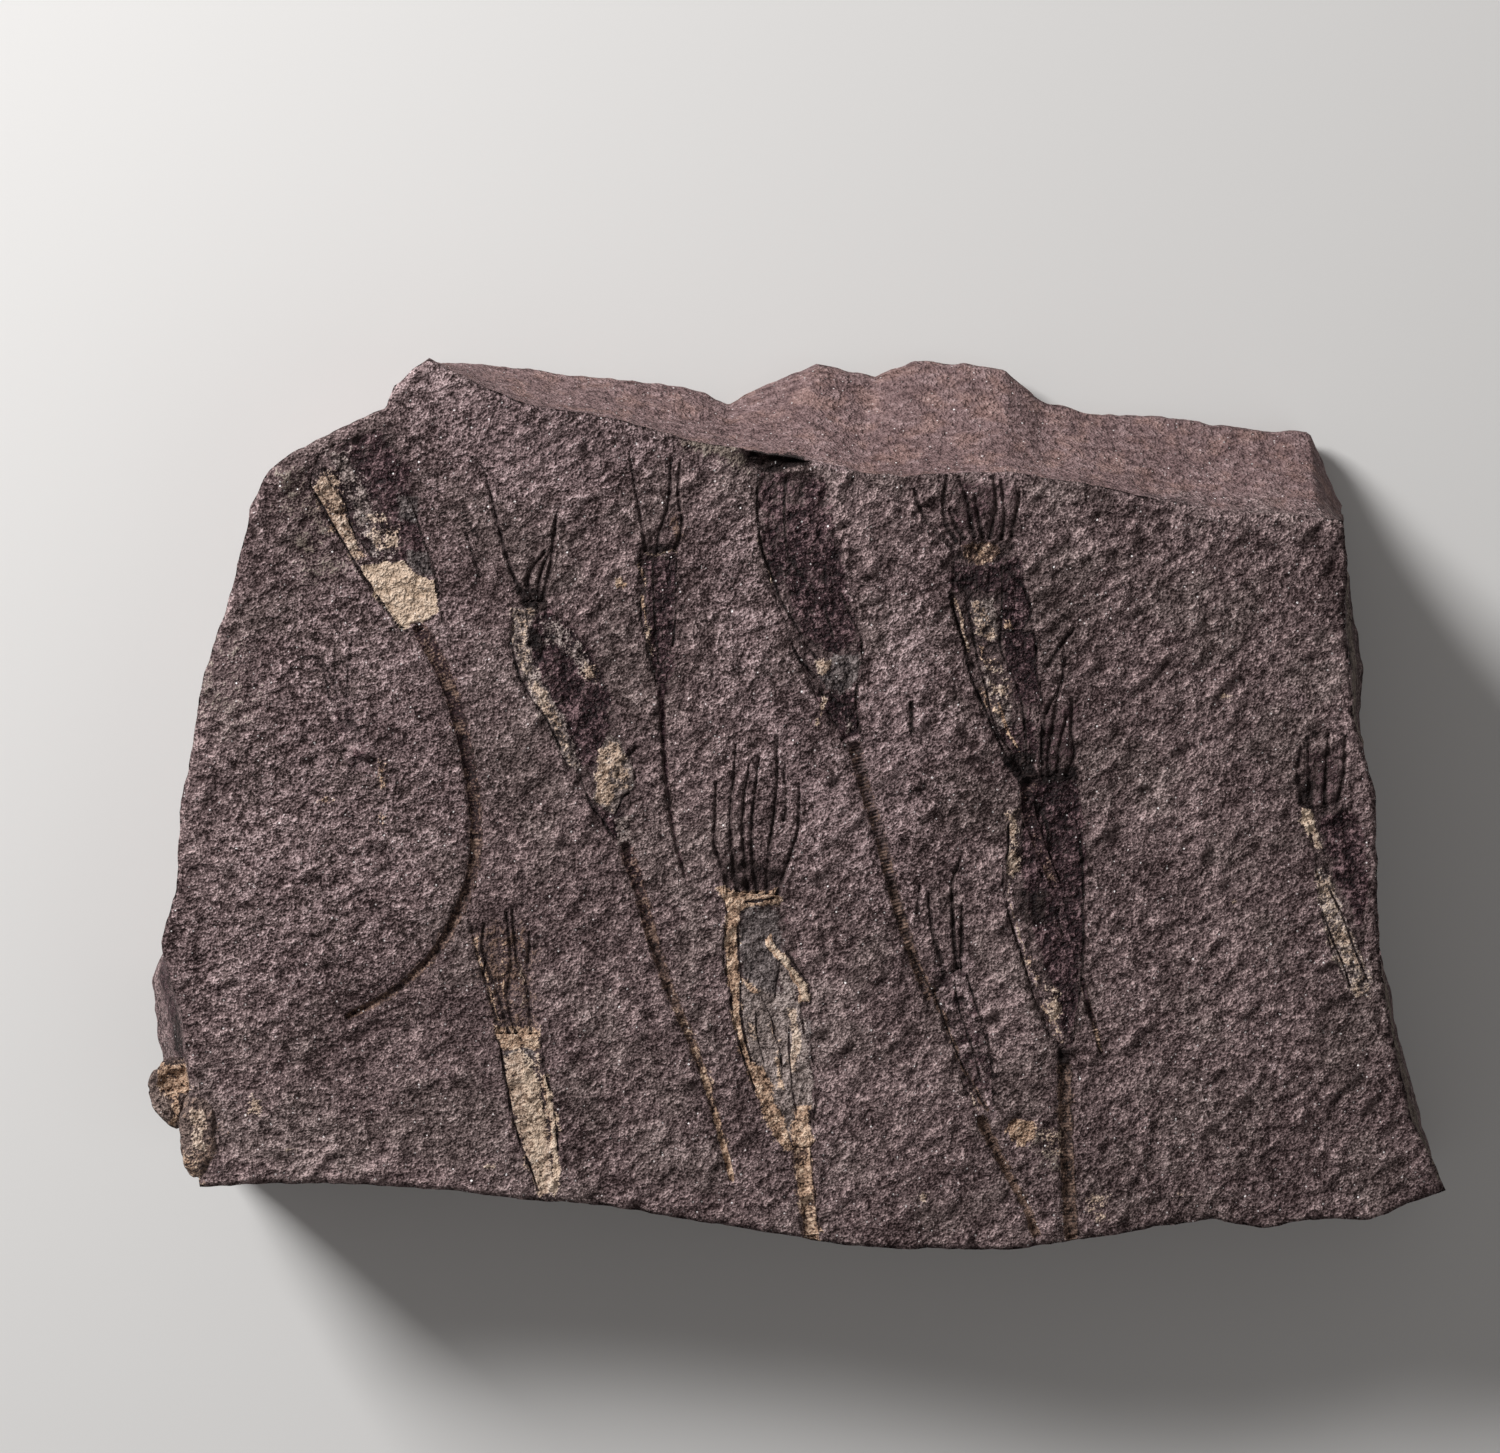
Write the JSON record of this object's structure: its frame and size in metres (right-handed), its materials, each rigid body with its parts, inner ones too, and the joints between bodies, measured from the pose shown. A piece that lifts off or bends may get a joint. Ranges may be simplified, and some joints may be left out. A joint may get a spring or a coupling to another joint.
{
  "type": "crinoid fossil slab",
  "caption": "Slab of purple sandstone with crinoids, each a shallow mould of cup, arms and stem with a thin mineral lining, lying face up.",
  "frame": {"origin": "centre of the bounding box's underside, on the surface that the slab lies on", "axes": "+X along the slab's length, +Y towards its broken, sloping top side, +Z out of the fossil face"},
  "size_m": [0.2283, 0.156, 0.0369],
  "materials": {
    "purple_sandstone": "rough, broken, with specks of mica",
    "dark_film": "dull, purple-black",
    "pale_clay_film": "matt, granular",
    "brown_film": "matt, finely ringed",
    "rusty_nodule": "matt, crusty"
  },
  "bodies": {
    "root": {"slab": "purple_sandstone", "crinoid_1_crown": "dark_film", "crinoid_2_crown": "dark_film", "crinoid_3_crown": "dark_film", "crinoid_4_crown": "dark_film", "crinoid_5_crown": "dark_film", "crinoid_6_crown": "dark_film", "crinoid_7_crown": "dark_film", "crinoid_8_crown": "pale_clay_film", "crinoid_9_crown": "pale_clay_film", "crinoid_10_crown": "dark_film", "crinoid_11_crown": "dark_film", "crinoid_1_stem": "brown_film", "crinoid_2_stem": "brown_film", "crinoid_3_stem": "brown_film", "crinoid_4_stem": "brown_film", "crinoid_5_stem": "brown_film", "crinoid_6_stem": "brown_film", "crinoid_7_stem": "brown_film", "crinoid_8_stem": "brown_film", "loose_stem_piece": "brown_film", "nodule_side": "rusty_nodule", "nodule_corner": "rusty_nodule"}
  },
  "joints": []
}
